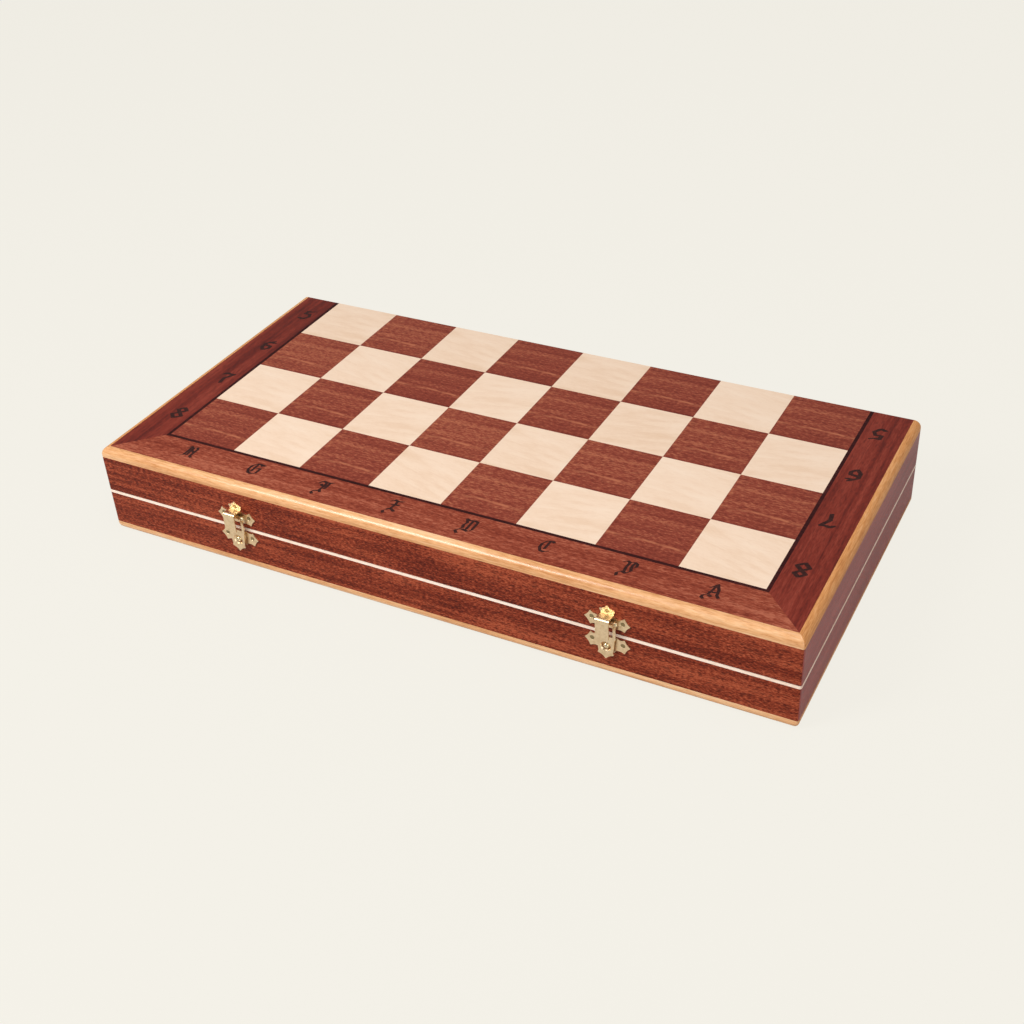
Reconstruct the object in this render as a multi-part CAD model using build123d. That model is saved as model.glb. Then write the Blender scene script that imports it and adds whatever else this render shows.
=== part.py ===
"""A folding chess set: two leaves that close to a flat box and open to a board, with its men inside."""

from build123d import *
import math
import os

# Board: all sizes in millimetres. Origin at the centre of the underside, +Z up,
# latches on the -Y side, hinges on the +Y side.
square = 52.0
columns = 8
leaf_rows = 4
border_front = 27.0
border_side = 28.3
line_width = 2.3
line_over_field = 1.5
veneer = 1.0
panel_thickness = 5.7
wall_thickness = 8.0
edging_width = 5.0
edging_round = 4.8
corner_round = 1.6
leaf_height = 32.3
lipping_thickness = 2.0
rim_gap = 0.4
fold_gap = 0.3

# Hinges at the back, one pair of leaves round each pin.
hinge_place = 150.0
hinge_length = 32.0
hinge_leaf_width = 7.2
hinge_leaf_thickness = 1.0
knuckle_count = 5
knuckle_radius = 2.0
knuckle_gap = 0.2
hinge_pin_radius = 0.75
running_fit = 0.05
hinge_clearance = 0.3
mortise_clearance = 0.1
hinge_screw_spacing = 20.0
hinge_screw_radius = 1.0
hinge_screw_length = 9.0
hinge_screw_head_radius = 1.9
screw_slot_width = 0.5
screw_slot_depth = 0.35

# Latches on the front. Heights are above the parting line, reach is out from the wall.
left_latch_place = -133.5
right_latch_place = 126.7
sheet = 0.8
lobe_place = 9.7
lobe_height = 8.8
lower_lobe_height = -7.0
tip_round = 0.45
upper_nail_height = 15.6
loop_width = 8.4
loop_reach = 8.5
loop_root = 13.2
loop_top = 14.9
loop_bottom = 1.3
loop_bend = 1.8
flap_pin_height = 9.2
flap_pin_reach = 2.9
flap_pin_radius = 0.6
flap_eye_radius = 1.3
flap_arm_width = 1.8
flap_side_gap = 0.2
flap_window_length = 10.1
flap_body_width = 10.9
flap_hole_height = -8.6
flap_hole_radius = 2.9
flap_hole_dish = 0.5
stud_radius = 2.2
stud_clearance = 0.1
nail_radius = 0.7
nail_head_radius = 1.3
nail_length = 6.0
nail_crown = 0.05
nail_dish_ease = 0.15

# Inserts: a flocked tray in each leaf, with a pocket for each man.
insert_clearance = 0.5
insert_floor = 1.5
insert_height = 17.0
insert_middle = 4.0
pocket_clearance = 1.2
pocket_round = 3.0
seat_gap = 0.3
head_rest_share = 0.3

# Men: height without the felt and base radius; the knight also half thicknesses by its base radius.
felt_thickness = 1.2
felt_inset = 1.0
king_height = 90.0
king_base = 18.0
queen_height = 80.0
queen_base = 16.5
bishop_height = 70.0
bishop_base = 15.0
knight_height = 65.0
knight_base = 15.0
knight_cheek = 0.46
knight_muzzle = 0.26
rook_height = 55.0
rook_base = 15.0
pawn_height = 48.0
pawn_base = 13.0

# Derived places.
half_length = columns * square / 2 + border_side + edging_width
depth = leaf_rows * square + border_front + edging_width
back = depth / 2
front = -depth / 2
field_front = front + edging_width + border_front
field_half = columns * square / 2
edging_height = veneer + panel_thickness
axis_y = back + fold_gap / 2
axis_z = leaf_height + rim_gap / 2
inner_half = half_length - wall_thickness
inner_front = front + wall_thickness
inner_back = back - wall_thickness
line_outer = field_half + line_width
line_front_inner = field_front + line_over_field
line_front_outer = line_front_inner - line_width
border_outer = half_length - edging_width
border_front_outer = front + edging_width
knuckle_bore = hinge_pin_radius + running_fit
arm_inner = loop_width / 2 + flap_side_gap
arm_outer = arm_inner + flap_arm_width


def prism(points, low, high):
    """A straight-sided solid from a plan outline, between two heights."""
    outline = make_face(Polyline(*points, close=True))
    return Pos(0, 0, low) * extrude(outline, amount=high - low, dir=(0, 0, 1))


def block(x0, x1, y0, y1, z0, z1):
    """A box between two corners."""
    size = Box(x1 - x0, y1 - y0, z1 - z0, align=(Align.MIN, Align.MIN, Align.MIN))
    return Pos(x0, y0, z0) * size


def rod(radius, length):
    """A rod along X, centred on the origin."""
    return Rot(0, 90, 0) * Cylinder(radius, length)


def turned_over(shape):
    """The same piece in the upper leaf: half a turn about the middle line that runs front to back."""
    return Pos(0, 0, 2 * axis_z) * Rot(0, 180, 0) * shape


def envelope():
    """The outside of one leaf: upright corners eased, playing edges rounded, fold edge left square."""
    body = block(-half_length, half_length, front, back, 0, leaf_height)
    front_corners = body.edges().filter_by(Axis.Z).sort_by(Axis.Y)[:2]
    body = fillet(front_corners, corner_round)
    low_edges = body.faces().sort_by(Axis.Z)[0].edges().sort_by(Axis.Y)[:-1]
    return fillet(low_edges, edging_round)


LEAF_OUTSIDE = envelope()


def side_band(sign, outer, inner, outer_front, inner_front_y):
    """Plan outline of a side strip, mitred at the front and square at the fold."""
    return [
        (sign * inner, back),
        (sign * outer, back),
        (sign * outer, outer_front),
        (sign * inner, inner_front_y),
    ]


def front_band(outer, inner, outer_front, inner_front_y):
    """Plan outline of a front strip, mitred at both ends."""
    return [
        (-outer, outer_front),
        (outer, outer_front),
        (inner, inner_front_y),
        (-inner, inner_front_y),
    ]


def both_sides(outer, inner, outer_front, inner_front_y, low, high):
    """A mitred side strip on the left and on the right."""
    return [
        prism(side_band(sign, outer, inner, outer_front, inner_front_y), low, high)
        for sign in (-1, 1)
    ]


def squares(dark):
    """The veneer squares of one colour on one leaf, the front row shortened by the inlaid line."""
    found = []
    for row in range(leaf_rows):
        for column in range(columns):
            if ((row + column) % 2 == 0) != dark:
                continue
            x1 = field_half - column * square
            y0 = max(field_front + row * square, line_front_inner)
            y1 = field_front + (row + 1) * square
            found.append(block(x1 - square, x1, y0, y1, 0, veneer))
    return found


def inlay_lines():
    """The dark line between the field and the border: front and both sides."""
    front_line = prism(
        front_band(line_outer, field_half, line_front_outer, line_front_inner), 0, veneer
    )
    return [front_line] + both_sides(
        line_outer, field_half, line_front_outer, line_front_inner, 0, veneer
    )


def border_front_strip():
    """The front border veneer, mitred."""
    outline = front_band(border_outer, line_outer, border_front_outer, line_front_outer)
    return [prism(outline, 0, veneer)]


def border_side_strips():
    """The two side border veneers, from the mitre to the fold."""
    return both_sides(border_outer, line_outer, border_front_outer, line_front_outer, 0, veneer)


def edging_front_strip():
    """The rounded light edging along the front."""
    outline = front_band(half_length, border_outer, front, border_front_outer)
    return [prism(outline, 0, edging_height) & LEAF_OUTSIDE]


def edging_side_strips():
    """The rounded light edging along the two sides."""
    strips = both_sides(half_length, border_outer, front, border_front_outer, 0, edging_height)
    return [strip & LEAF_OUTSIDE for strip in strips]


def panel():
    """The plywood panel under the veneers, resting on the four walls."""
    return [block(-border_outer, border_outer, border_front_outer, back, veneer, edging_height)]


WALLS = ["front", "right", "back", "left"]


def wall_outline(name):
    """Plan outline of one mitred wall."""
    outer = [(-half_length, front), (half_length, front), (half_length, back), (-half_length, back)]
    inner = [
        (-inner_half, inner_front),
        (inner_half, inner_front),
        (inner_half, inner_back),
        (-inner_half, inner_back),
    ]
    first = WALLS.index(name)
    second = (first + 1) % len(WALLS)
    return [outer[first], outer[second], inner[second], inner[first]]


def wall(name, rim):
    """One wall, from the panel up to the given rim height."""
    return prism(wall_outline(name), edging_height, rim) & LEAF_OUTSIDE


def lipping(name):
    """The pale strip on the rim of one wall of the lower leaf."""
    return prism(wall_outline(name), leaf_height - lipping_thickness, leaf_height) & LEAF_OUTSIDE


def hinge_room():
    """The space that both hinges take from a back rim: knuckle groove, leaf mortise and screw holes."""
    room = []
    groove_length = hinge_length + 2 * mortise_clearance
    for x in (-hinge_place, hinge_place):
        groove = Pos(x, axis_y, axis_z) * rod(knuckle_radius + hinge_clearance, groove_length)
        mortise = block(
            x - groove_length / 2,
            x + groove_length / 2,
            axis_y - hinge_leaf_width - mortise_clearance,
            axis_y,
            leaf_height - hinge_leaf_thickness,
            leaf_height,
        )
        room += [groove, mortise]
        for place in hinge_screw_places(x):
            room.append(place * Cylinder(hinge_screw_radius + running_fit, 2 * hinge_screw_length))
    return room


def hinge_screw_places(x):
    """Where the two screws of one hinge leaf stand, at the rim face of the lower leaf."""
    middle = axis_y - (hinge_leaf_width + knuckle_radius) / 2
    half = hinge_screw_spacing / 2
    return [Pos(x + shift, middle, leaf_height) for shift in (-half, half)]


def cut_all(shape, tools):
    """The shape with every tool taken out of it."""
    for tool in tools:
        shape = shape - tool
    return shape


def knuckle_spans(first):
    """Start and end, from the hinge middle, of every second knuckle."""
    pitch = hinge_length / knuckle_count
    starts = [-hinge_length / 2 + index * pitch for index in range(first, knuckle_count, 2)]
    return [(start + knuckle_gap / 2, start + pitch - knuckle_gap / 2) for start in starts]


def hinge_leaf(x, first, other):
    """One leaf of a hinge with its knuckles, in the lower leaf's rim."""
    clear = knuckle_radius + hinge_clearance
    plate = block(
        x - hinge_length / 2,
        x + hinge_length / 2,
        axis_y - hinge_leaf_width,
        axis_y - knuckle_bore,
        leaf_height - hinge_leaf_thickness,
        leaf_height,
    )
    for start, end in knuckle_spans(other):
        notch = block(
            x + start - knuckle_gap, x + end + knuckle_gap, axis_y - clear, axis_y, 0, 2 * axis_z
        )
        plate = plate - notch
    for start, end in knuckle_spans(first):
        tube = rod(knuckle_radius, end - start)
        plate = plate + Pos(x + (start + end) / 2, axis_y, axis_z) * tube
    plate = plate - Pos(x, axis_y, axis_z) * rod(knuckle_bore, 2 * hinge_length)
    for place in hinge_screw_places(x):
        countersink = Cone(
            hinge_screw_radius + running_fit,
            hinge_screw_head_radius + running_fit,
            hinge_leaf_thickness,
            align=(Align.CENTER, Align.CENTER, Align.MAX),
        )
        plate = plate - place * countersink
    return plate


def hinge_screw(place):
    """A countersunk screw with a slot, flush with the hinge leaf."""
    head = Cone(
        hinge_screw_radius,
        hinge_screw_head_radius,
        hinge_leaf_thickness,
        align=(Align.CENTER, Align.CENTER, Align.MAX),
    )
    shank_length = hinge_screw_length - hinge_leaf_thickness
    shank = Cylinder(hinge_screw_radius, shank_length, align=(Align.CENTER, Align.CENTER, Align.MAX))
    slot = Box(2 * hinge_screw_head_radius, screw_slot_width, 2 * screw_slot_depth)
    return place * (head + Pos(0, 0, -hinge_leaf_thickness) * shank - slot)


def hinge_screws():
    """The four screws that hold the hinges in one leaf."""
    return [hinge_screw(place) for x in (-hinge_place, hinge_place) for place in hinge_screw_places(x)]


def hinge_pins():
    """The pin of each hinge."""
    pin = rod(hinge_pin_radius, hinge_length)
    return [Pos(x, axis_y, axis_z) * pin for x in (-hinge_place, hinge_place)]


def concave(start, end, sag):
    """An arc from start to end, bulging to the left of its chord by the sag."""
    (x0, z0), (x1, z1) = start, end
    length = math.hypot(x1 - x0, z1 - z0)
    middle = ((x0 + x1) / 2 - sag * (z1 - z0) / length, (z0 + z1) / 2 + sag * (x1 - x0) / length)
    return ThreePointArc(start, middle, end)


def mirrored_face(corners, tips):
    """A face from the right half of its outline, as (x, height, hollow of the arc that leads there).

    The first and last corners lie on the middle line. The corners named by their place in tips are eased.
    """
    right = []
    for (x0, z0, _), (x1, z1, hollow) in zip(corners, corners[1:]):
        if hollow:
            right.append(concave((x0, z0), (x1, z1), -hollow))
        else:
            right.append(Line((x0, z0), (x1, z1)))
    left = [edge.mirror(Plane.YZ) for edge in right]
    face = make_face(right + left)
    for index in tips:
        x, z, _ = corners[index]
        for side in {x, -x}:
            tip = face.vertices().sort_by_distance((side, z, 0))[0]
            face = fillet(tip, tip_round)
    return face


def stand_out(face, inner, outer):
    """A face drawn in (x, height), given its thickness between two distances out from the wall."""
    return Pos(0, -inner, 0) * extrude(Plane.XZ * face, amount=outer - inner, dir=(0, -1, 0))


# Outlines of the stamped brass: x, height, and the hollow of the arc that leads to the corner.
LOBE_POINTS = [(1.1, 4.5, 0.9), (4.9, -0.6, 0.6), (1.1, -6.0, 0.6)]
CROWN_POINTS = [(0, 4.2, 0), (5.2, 0.9, 0.7), (4.4, -3.4, 0.6)]
UPPER_NECK = (5.4, 2.4, 0)
UPPER_FOOT = [(6.6, -4.8, 0.6), (0, -4.8, 0)]
LOWER_SHOULDER = [(0, 4.3, 0), (6.4, 4.3, 0)]
LOWER_WAIST = (5.6, -5.0, 0.7)
LOWER_FOOT = [(4.4, -5.0, 0), (0, -8.2, 0.6)]
FLAP_FOOT = [(4.75, -2.8, 0), (5.5, -5.6, 0.5), (0, -9.3, 0.8)]
flap_bridge = 1.2
flap_shoulder = 2.6


def raised(points, height):
    """Outline points lifted by a height."""
    return [(x, z + height, hollow) for x, z, hollow in points]


def side_lobe(height):
    """Corners of the right-hand star lobe round a nail at the given height."""
    return [(lobe_place + x, height + z, hollow) for x, z, hollow in LOBE_POINTS]


def nail_hole():
    """A dished hole through the sheet, along +Y from its face."""
    cone = Cone(nail_radius + running_fit, nail_head_radius + nail_dish_ease, sheet)
    return Pos(0, -sheet / 2, 0) * Rot(90, 0, 0) * cone


def nail(x, height):
    """A brass nail with a countersunk head, driven into the front wall."""
    head = Pos(0, -sheet / 2, 0) * Rot(90, 0, 0) * Cone(nail_radius, nail_head_radius, sheet)
    crown = Pos(0, -sheet, 0) * Rot(90, 0, 0) * Cylinder(
        nail_head_radius, nail_crown, align=(Align.CENTER, Align.CENTER, Align.MAX)
    )
    shank = Pos(0, nail_length / 2, 0) * Rot(90, 0, 0) * Cylinder(nail_radius, nail_length)
    return Pos(x, 0, height) * (head + crown + shank)


LATCH_PLACES = (left_latch_place, right_latch_place)
UPPER_NAILS = [(-lobe_place, lobe_height), (lobe_place, lobe_height), (0, upper_nail_height)]
LOWER_NAILS = [(-lobe_place, lower_lobe_height), (lobe_place, lower_lobe_height)]


def loop_strip():
    """The middle strip of the upper plate: out in a ledge and down in front of the flap's pin."""
    inner_reach = loop_reach - sheet
    outline = make_face(
        Polyline(
            (0, loop_root),
            (loop_reach, loop_top),
            (loop_reach, loop_bottom),
            (inner_reach, loop_bottom),
            (inner_reach, loop_top - sheet),
            (0, loop_root - sheet),
            close=True,
        )
    )
    outer_corner = outline.vertices().sort_by_distance((loop_reach, loop_top, 0))[0]
    outline = fillet(outer_corner, loop_bend)
    inner_corner = outline.vertices().sort_by_distance((inner_reach, loop_top - sheet, 0))[0]
    outline = fillet(inner_corner, loop_bend - sheet)
    upright = Plane(origin=(-loop_width / 2, 0, 0), x_dir=(0, -1, 0), z_dir=(-1, 0, 0))
    return extrude(upright * outline, amount=loop_width, dir=(1, 0, 0))


def pin_bearing():
    """The tab of the upper plate that is rolled round the flap's pin, behind the loop."""
    roll = Pos(0, -flap_pin_reach, flap_pin_height) * rod(flap_eye_radius, loop_width)
    web = block(
        -loop_width / 2,
        loop_width / 2,
        -flap_pin_reach,
        -sheet / 2,
        flap_pin_height - flap_eye_radius,
        flap_pin_height - flap_pin_radius,
    )
    bore = Pos(0, -flap_pin_reach, flap_pin_height) * rod(flap_pin_radius + running_fit, 2 * loop_width)
    return roll + web - bore


def upper_plate():
    """The upper latch plate: three star lobes, the loop and the pin's bearing, from one sheet."""
    corners = raised(CROWN_POINTS, upper_nail_height) + raised([UPPER_NECK], lobe_height)
    corners += side_lobe(lobe_height) + raised(UPPER_FOOT, lobe_height)
    plate = stand_out(mirrored_face(corners, [0, 1, 4, 5, 6]), 0, sheet)
    plate = plate + loop_strip() + pin_bearing()
    for x, height in UPPER_NAILS:
        plate = plate - Pos(x, 0, height) * nail_hole()
    return plate


def stud():
    """The stamped stud on the lower plate; it stops just behind the flap."""
    height = flap_pin_reach - sheet / 2 - stud_clearance - sheet
    ball = (stud_radius**2 + height**2) / (2 * height)
    cap = Sphere(ball) & Pos(0, 0, ball - height) * Cylinder(
        stud_radius, height, align=(Align.CENTER, Align.CENTER, Align.MIN)
    )
    dome = Rot(90, 0, 0) * Pos(0, 0, height - ball) * cap
    return Pos(0, -sheet, flap_hole_height) * dome


def lower_plate():
    """The lower latch plate: two star lobes, a pointed foot and the stud."""
    corners = raised(LOWER_SHOULDER, lower_lobe_height) + side_lobe(lower_lobe_height)
    corners += raised([LOWER_WAIST], lower_lobe_height) + raised(LOWER_FOOT, flap_hole_height)
    plate = stand_out(mirrored_face(corners, [2, 3, 4]), 0, sheet) + stud()
    for x, height in LOWER_NAILS:
        plate = plate - Pos(x, 0, height) * nail_hole()
    return plate


def flap():
    """The swinging flap: two arms with eyes on the pin, a window round the loop and a holed foot."""
    window_foot = flap_pin_height - flap_window_length
    corners = [
        (0, window_foot, 0),
        (arm_inner, window_foot, 0),
        (arm_inner, flap_pin_height, 0),
        (arm_outer, flap_pin_height, 0),
        (arm_outer, window_foot - flap_bridge, 0),
        (flap_body_width / 2, window_foot - flap_shoulder, 0.2),
    ]
    corners += raised(FLAP_FOOT, flap_hole_height)
    inner = flap_pin_reach - sheet / 2
    body = stand_out(mirrored_face(corners, [7, 8]), inner, inner + sheet)
    for sign in (-1, 1):
        eye = rod(flap_eye_radius, flap_arm_width)
        body = body + Pos(sign * (arm_inner + arm_outer) / 2, -flap_pin_reach, flap_pin_height) * eye
    bore = rod(flap_pin_radius + running_fit, 4 * arm_outer)
    body = body - Pos(0, -flap_pin_reach, flap_pin_height) * bore
    hole = Rot(90, 0, 0) * Cone(flap_hole_radius, flap_hole_radius + flap_hole_dish, sheet)
    return body - Pos(0, -flap_pin_reach, flap_hole_height) * hole


def flap_pin():
    """The pin of one flap with its two domed ends."""
    pin = rod(flap_pin_radius, 2 * arm_outer + 2 * running_fit)
    for sign in (-1, 1):
        ball = Sphere(flap_eye_radius) & Pos(sign * flap_eye_radius / 2, 0, 0) * Box(
            flap_eye_radius, 4 * flap_eye_radius, 4 * flap_eye_radius
        )
        pin = pin + Pos(sign * (arm_outer + running_fit), 0, 0) * ball
    return Pos(0, -flap_pin_reach, flap_pin_height) * pin


def on_front(shape, x):
    """A latch piece carried to its place on the front wall."""
    return Pos(x, front, axis_z) * shape


def nails(places):
    """The nails of both latches at the given places of a plate."""
    return [on_front(nail(px, height), x) for x in LATCH_PLACES for px, height in places]


def nail_bores(places):
    """The holes that the nails make in the front wall."""
    bores = []
    for x in LATCH_PLACES:
        for px, height in places:
            bore = Pos(px, nail_length / 2, height) * Rot(90, 0, 0) * Cylinder(
                nail_radius + running_fit, nail_length + 2 * running_fit
            )
            bores.append(on_front(bore, x))
    return bores


def turned(corners):
    """A turned solid from (radius, height, bulge) corners; bulge is the arc that leads to the corner."""
    edges = [Line((0, corners[0][1]), (corners[0][0], corners[0][1]))]
    for (r0, z0, _), (r1, z1, bulge) in zip(corners, corners[1:]):
        if bulge:
            edges.append(concave((r0, z0), (r1, z1), -bulge))
        else:
            edges.append(Line((r0, z0), (r1, z1)))
    edges.append(Line((corners[-1][0], corners[-1][1]), (0, corners[-1][1])))
    edges.append(Line((0, corners[-1][1]), (0, corners[0][1])))
    return revolve(Plane.XZ * make_face(edges), axis=Axis.Z)


def scaled(corners, base, height):
    """Corners given as shares of the base radius and the height, as real sizes."""
    return [(r * base, z * height, bulge * base) for r, z, bulge in corners]


# The foot that all men share, as shares of base radius and height.
FOOT = [
    (0.95, 0.000, 0),
    (1.00, 0.012, 0),
    (1.00, 0.045, 0),
    (0.86, 0.085, 0.03),
    (0.84, 0.095, 0),
    (0.84, 0.120, 0.05),
    (0.70, 0.130, 0),
]


def king():
    """The king: tall stem, double collar, flared crown and a cross."""
    corners = FOOT + [
        (0.34, 0.400, -0.10),
        (0.31, 0.560, 0),
        (0.54, 0.575, 0),
        (0.54, 0.595, 0.03),
        (0.36, 0.605, 0),
        (0.44, 0.615, 0),
        (0.44, 0.630, 0.03),
        (0.32, 0.645, 0),
        (0.56, 0.830, -0.04),
        (0.60, 0.842, 0),
        (0.60, 0.858, 0.02),
        (0.50, 0.868, 0),
        (0.13, 0.912, 0.06),
        (0.10, 0.925, 0),
    ]
    body = turned(scaled(corners, king_base, king_height))
    cross_foot = 0.915 * king_height
    cross_height = king_height - cross_foot
    arm = 0.30 * cross_height
    upright = Box(arm, arm, cross_height, align=(Align.CENTER, Align.CENTER, Align.MIN))
    bar = Box(0.85 * cross_height, arm, arm)
    return body + Pos(0, 0, cross_foot) * upright + Pos(0, 0, cross_foot + 0.62 * cross_height) * bar


def queen():
    """The queen: as the king, with a coronet of hollows and a small ball."""
    corners = FOOT + [
        (0.34, 0.400, -0.10),
        (0.31, 0.590, 0),
        (0.54, 0.605, 0),
        (0.54, 0.627, 0.03),
        (0.36, 0.637, 0),
        (0.43, 0.648, 0),
        (0.43, 0.663, 0.03),
        (0.31, 0.678, 0),
        (0.64, 0.900, -0.08),
        (0.48, 0.905, 0),
        (0.14, 0.945, 0.05),
    ]
    body = turned(scaled(corners, queen_base, queen_height))
    ball = 0.15 * queen_base
    body = body + Pos(0, 0, queen_height - ball) * Sphere(ball)
    hollow_count = 8
    for index in range(hollow_count):
        turn = Rot(0, 0, 360 * index / hollow_count)
        hollow = turn * Pos(0.66 * queen_base, 0, 0.915 * queen_height) * Rot(0, 90, 0)
        body = body - hollow * Cylinder(0.13 * queen_base, 0.5 * queen_base)
    return body


def bishop():
    """The bishop: a mitre with a slanting cut and a small ball."""
    corners = FOOT + [
        (0.33, 0.380, -0.09),
        (0.29, 0.570, 0),
        (0.52, 0.585, 0),
        (0.52, 0.607, 0.03),
        (0.33, 0.620, 0),
        (0.40, 0.632, 0),
        (0.40, 0.650, 0.03),
        (0.28, 0.662, 0),
        (0.43, 0.760, 0.05),
        (0.10, 0.950, 0.10),
    ]
    body = turned(scaled(corners, bishop_base, bishop_height))
    ball = 0.15 * bishop_base
    body = body + Pos(0, 0, bishop_height - ball) * Sphere(ball)
    cut = Pos(0.30 * bishop_base, 0, 0.86 * bishop_height) * Rot(0, 35, 0)
    return body - cut * Box(0.12 * bishop_base, 2 * bishop_base, 0.62 * bishop_base)


def rook():
    """The rook: a short tower with a notched parapet."""
    corners = FOOT + [
        (0.48, 0.420, -0.07),
        (0.44, 0.650, 0),
        (0.62, 0.670, 0),
        (0.62, 0.700, 0.03),
        (0.48, 0.715, 0),
        (0.60, 0.790, -0.04),
        (0.68, 0.800, 0),
        (0.68, 1.000, 0),
        (0.48, 1.000, 0),
        (0.48, 0.900, 0),
        (0.01, 0.900, 0),
    ]
    body = turned(scaled(corners, rook_base, rook_height))
    for index in range(3):
        turn = Rot(0, 0, 60 * index)
        notch = Box(3 * rook_base, 0.24 * rook_base, 0.20 * rook_height)
        body = body - Pos(0, 0, 1.015 * rook_height) * turn * notch
    return body


def pawn():
    """The pawn: a plain ball on a collar."""
    corners = FOOT + [
        (0.36, 0.400, -0.08),
        (0.31, 0.600, 0),
        (0.56, 0.620, 0),
        (0.56, 0.650, 0.03),
        (0.30, 0.680, 0),
        (0.20, 0.710, 0),
    ]
    body = turned(scaled(corners, pawn_base, pawn_height))
    ball = 0.17 * pawn_height
    return body + Pos(0, 0, pawn_height - ball) * Sphere(ball)


def knight():
    """The knight: the shared foot with a carved horse's head, flat-cheeked with an ear and a cut mane."""
    corners = FOOT + [(0.66, 0.20, 0.03), (0.60, 0.235, 0.03)]
    body = turned(scaled(corners, knight_base, knight_height))
    outline = [
        (-0.50, 0.20),
        (-0.66, 0.42),
        (-0.62, 0.62),
        (-0.42, 0.80),
        (-0.18, 0.90),
        (-0.08, 1.00),
        (0.10, 0.90),
        (0.34, 0.86),
        (0.62, 0.76),
        (0.84, 0.67),
        (0.86, 0.61),
        (0.70, 0.56),
        (0.48, 0.585),
        (0.30, 0.60),
        (0.14, 0.57),
        (0.34, 0.44),
        (0.56, 0.30),
        (0.54, 0.20),
    ]
    points = [(x * knight_base, z * knight_height) for x, z in outline]
    back_line = Spline(*points[:5])
    ear_line = Polyline(*points[4:8])
    nose_line = Spline(*points[7:10])
    muzzle_line = Polyline(*points[9:12])
    jaw_line = Spline(*points[11:15])
    chest_line = Spline(*points[14:])
    foot_line = Line(points[-1], points[0])
    shape = make_face([back_line, ear_line, nose_line, muzzle_line, jaw_line, chest_line, foot_line])
    cheek = knight_cheek * knight_base
    head = extrude(Plane.XZ * shape, amount=cheek, both=True)
    blank = [(0.62, 0.20, 0), (0.90, 0.46, 0.04), (0.90, 0.72, 0.10), (0.30, 1.02, 0.12)]
    head = head & turned(scaled(blank, knight_base, knight_height))
    muzzle = knight_muzzle * knight_base
    face = [(-knight_base, cheek), (0.20 * knight_base, cheek), (knight_base, muzzle)]
    sides = make_face(Polyline(*face, *[(x, -y) for x, y in reversed(face)], close=True))
    head = head & extrude(sides, amount=knight_height)
    for index in range(5):
        height = (0.36 + 0.11 * index) * knight_height
        groove = Pos(-0.62 * knight_base + 0.05 * index * knight_base, 0, height) * Rot(0, -25, 0)
        head = head - groove * Box(0.34 * knight_base, 2 * knight_base, 0.018 * knight_height)
    mouth = Pos(0.80 * knight_base, 0, 0.605 * knight_height) * Rot(0, -12, 0)
    head = head - mouth * Box(0.40 * knight_base, 2 * knight_base, 0.014 * knight_height)
    for side in (-1, 1):
        eye = Pos(0.26 * knight_base, side * cheek, 0.775 * knight_height) * Rot(90, 0, 0)
        head = head - eye * Cylinder(0.08 * knight_base, 0.12 * knight_base)
    return body + head


MEN = {
    "king": (king, king_height, king_base, 0.62),
    "queen": (queen, queen_height, queen_base, 0.64),
    "bishop": (bishop, bishop_height, bishop_base, 0.43),
    "knight": (knight, knight_height, knight_base, knight_cheek),
    "rook": (rook, rook_height, rook_base, 0.68),
    "pawn": (pawn, pawn_height, pawn_base, 0.17 * pawn_height / pawn_base),
}
TRAY_ROWS = [
    ["king", "queen", "bishop", "bishop", "knight", "knight"],
    ["rook", "pawn", "pawn", "pawn", "pawn", "rook"],
    ["pawn", "pawn", "pawn", "pawn"],
]


def tray_places():
    """Each man's name, x and y of its base face, in the pocket half of the lower leaf."""
    low_x = insert_middle
    high_x = inner_half - insert_clearance
    lengths = [max(MEN[name][1] for name in row) + felt_thickness for row in TRAY_ROWS]
    room = inner_back - inner_front - 2 * insert_clearance
    y_gap = (room - sum(lengths)) / (len(TRAY_ROWS) + 1)
    places = []
    y = inner_front + insert_clearance + y_gap
    for row, length in zip(TRAY_ROWS, lengths):
        x_gap = (high_x - low_x - sum(2 * MEN[name][2] for name in row)) / (len(row) + 1)
        x = low_x + x_gap
        for name in row:
            places.append((name, x + MEN[name][2], y))
            x += 2 * MEN[name][2] + x_gap
        y += length + y_gap
    return places


POCKET_FLOOR = edging_height + insert_floor


def lying(shape, name, x, y):
    """A man or its felt laid in its pocket, base towards the latches."""
    height = POCKET_FLOOR + seat_gap + MEN[name][2]
    return Pos(x, y, height) * Rot(-90, 0, 0) * shape


def man_set(name):
    """Every man of one kind in its pocket."""
    maker = MEN[name][0]
    shape = Pos(0, 0, felt_thickness) * maker()
    return [lying(shape, kind, x, y) for kind, x, y in tray_places() if kind == name]


def felt_pads():
    """The felt disc under each man."""
    pads = []
    for name, x, y in tray_places():
        disc = Cylinder(
            MEN[name][2] - felt_inset, felt_thickness, align=(Align.CENTER, Align.CENTER, Align.MIN)
        )
        pads.append(lying(disc, name, x, y))
    return pads


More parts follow.
